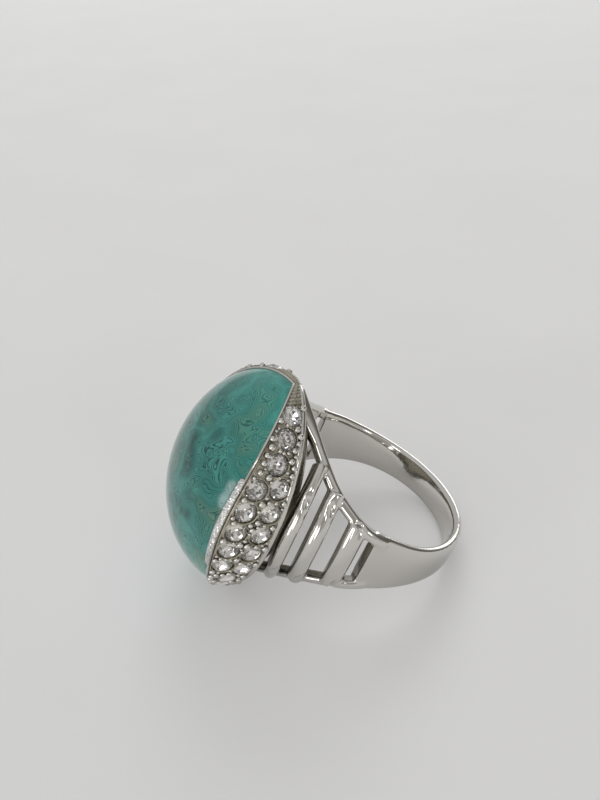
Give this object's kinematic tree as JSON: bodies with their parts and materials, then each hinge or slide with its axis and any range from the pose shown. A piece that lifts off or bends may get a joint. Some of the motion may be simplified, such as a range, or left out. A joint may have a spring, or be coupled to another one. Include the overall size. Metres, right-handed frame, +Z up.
{
  "type": "cocktail ring",
  "caption": "Statement finger ring with a large oval marbled cabochon, crescents of clear rhinestones, openwork shoulders and a tapering band.",
  "frame": {"origin": "middle of the ring's outline on the surface that it lies on", "axes": "+Z up from the surface; -X towards the stone, +X towards the band's back; Y across the finger, with the ring's mirror plane at y = 0"},
  "size_m": [0.0274, 0.0196, 0.0195],
  "materials": {
    "rhodium": "polished bright rhodium plate on a white-metal casting",
    "antiqued_rhodium": "beaded, darkened in the hollows",
    "marbled_resin": "glossy, translucent teal with dark swirls",
    "crystal": "clear, faceted, foil backed",
    "cement": "matt"
  },
  "bodies": {
    "root": {"shank": "rhodium", "head_tray": "rhodium", "cement_bed": "cement", "cabochon": "marbled_resin", "bezel_wire": "rhodium", "shoulder_right": "rhodium", "pave_panel_right": "antiqued_rhodium", "bezel_tab_right": "rhodium", "rhinestone_right_1": "crystal", "rhinestone_right_2": "crystal", "rhinestone_right_3": "crystal", "rhinestone_right_4": "crystal", "rhinestone_right_5": "crystal", "rhinestone_right_6": "crystal", "rhinestone_right_7": "crystal", "rhinestone_right_8": "crystal", "rhinestone_right_9": "crystal", "rhinestone_right_10": "crystal", "rhinestone_right_11": "crystal", "rhinestone_right_12": "crystal", "rhinestone_right_13": "crystal", "rhinestone_right_14": "crystal", "rhinestone_right_15": "crystal", "rhinestone_right_16": "crystal", "shoulder_left": "rhodium", "pave_panel_left": "antiqued_rhodium", "bezel_tab_left": "rhodium", "rhinestone_left_1": "crystal", "rhinestone_left_2": "crystal", "rhinestone_left_3": "crystal", "rhinestone_left_4": "crystal", "rhinestone_left_5": "crystal", "rhinestone_left_6": "crystal", "rhinestone_left_7": "crystal", "rhinestone_left_8": "crystal", "rhinestone_left_9": "crystal", "rhinestone_left_10": "crystal", "rhinestone_left_11": "crystal", "rhinestone_left_12": "crystal", "rhinestone_left_13": "crystal", "rhinestone_left_14": "crystal", "rhinestone_left_15": "crystal", "rhinestone_left_16": "crystal"}
  },
  "joints": []
}
